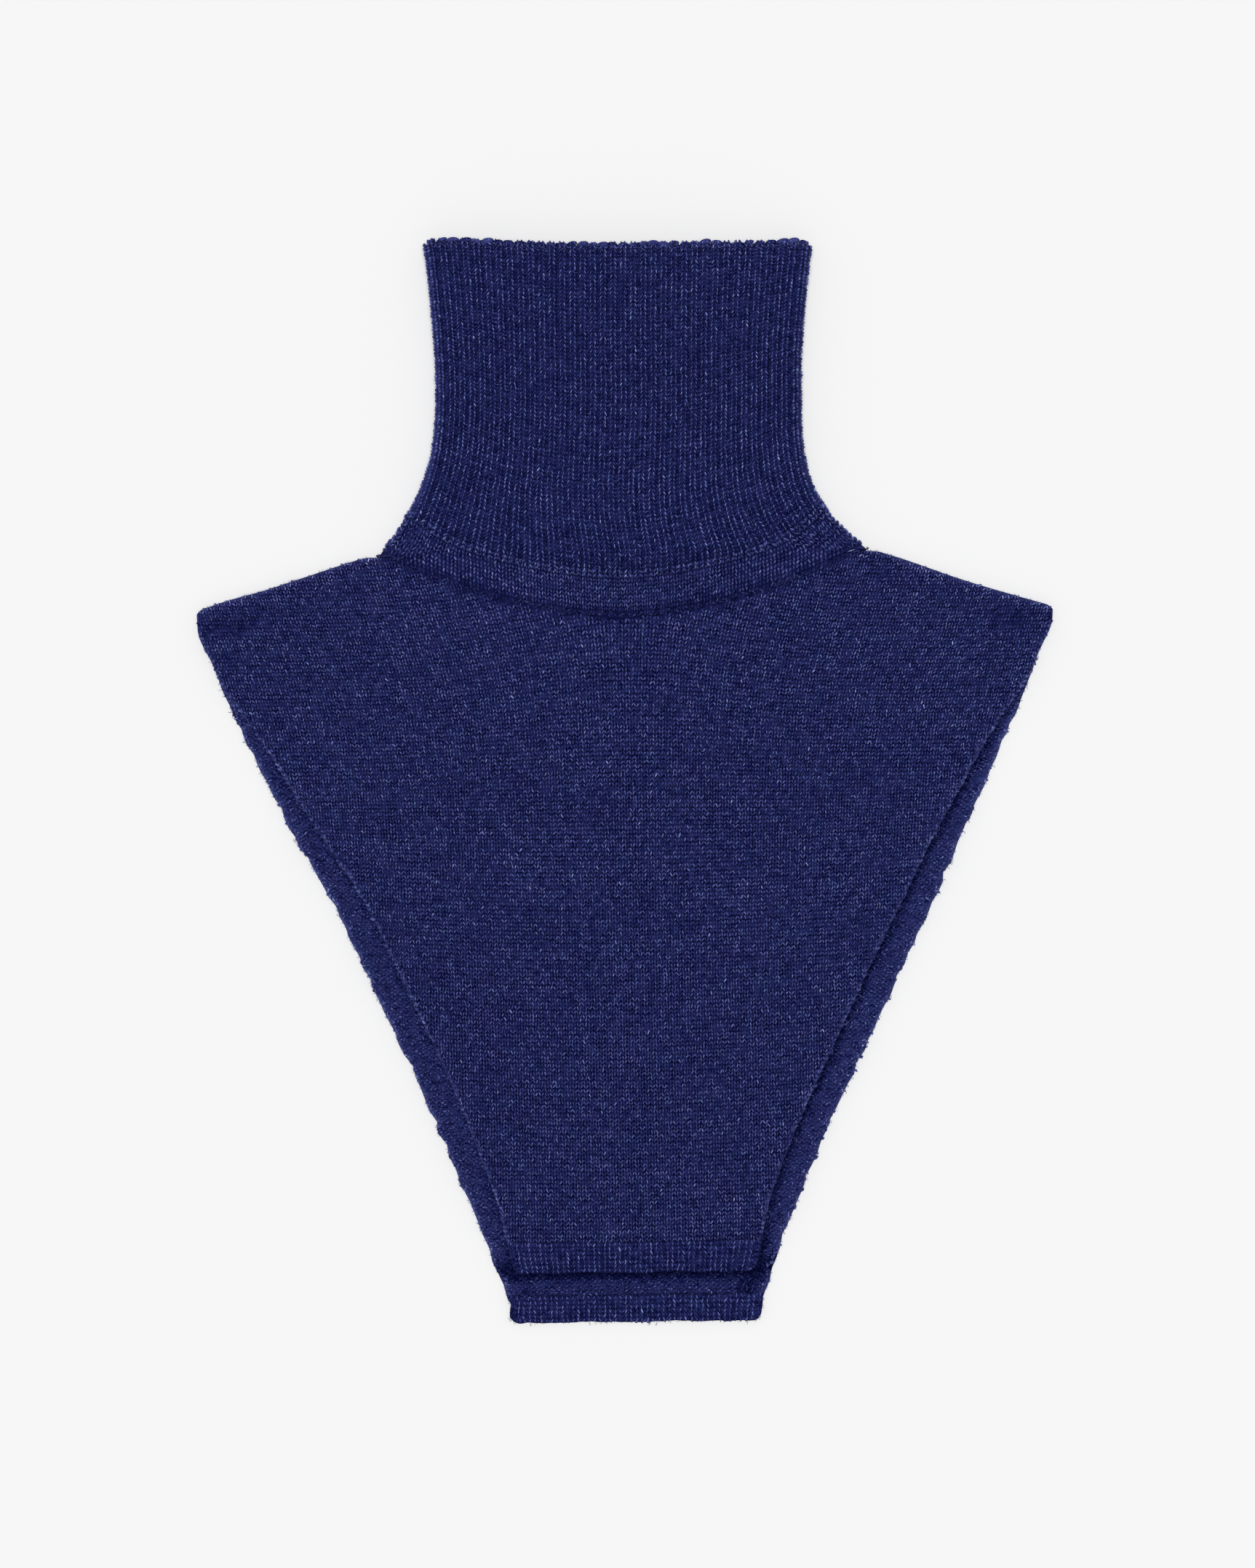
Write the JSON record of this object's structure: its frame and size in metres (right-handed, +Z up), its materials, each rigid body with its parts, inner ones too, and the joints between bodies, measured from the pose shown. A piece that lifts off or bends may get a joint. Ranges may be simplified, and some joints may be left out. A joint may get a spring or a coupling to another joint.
{
  "type": "turtleneck dickey",
  "caption": "Knitted dickey laid flat: a tall rib collar tube on a front and a back bib panel with ribbed hems.",
  "frame": {"origin": "centre of the bounding box's underside, on the surface that the dickey lies on", "axes": "+Y towards the collar's rim, +Z up out of the front panel, +X across the shoulders"},
  "size_m": [0.376, 0.476, 0.0152],
  "materials": {
    "rib_knit": "heathered navy yarn in 1x1 rib",
    "plain_knit": "heathered navy yarn in plain knit, knit side out",
    "purl_knit": "heathered navy yarn in plain knit, purl side up, brushed",
    "seam_yarn": "navy linking yarn"
  },
  "bodies": {
    "root": {"collar": "rib_knit", "collar_base_band": "plain_knit", "neck_seam": "seam_yarn", "front_panel": "plain_knit", "back_panel": "purl_knit", "front_hem": "rib_knit", "back_hem": "rib_knit"}
  },
  "joints": []
}
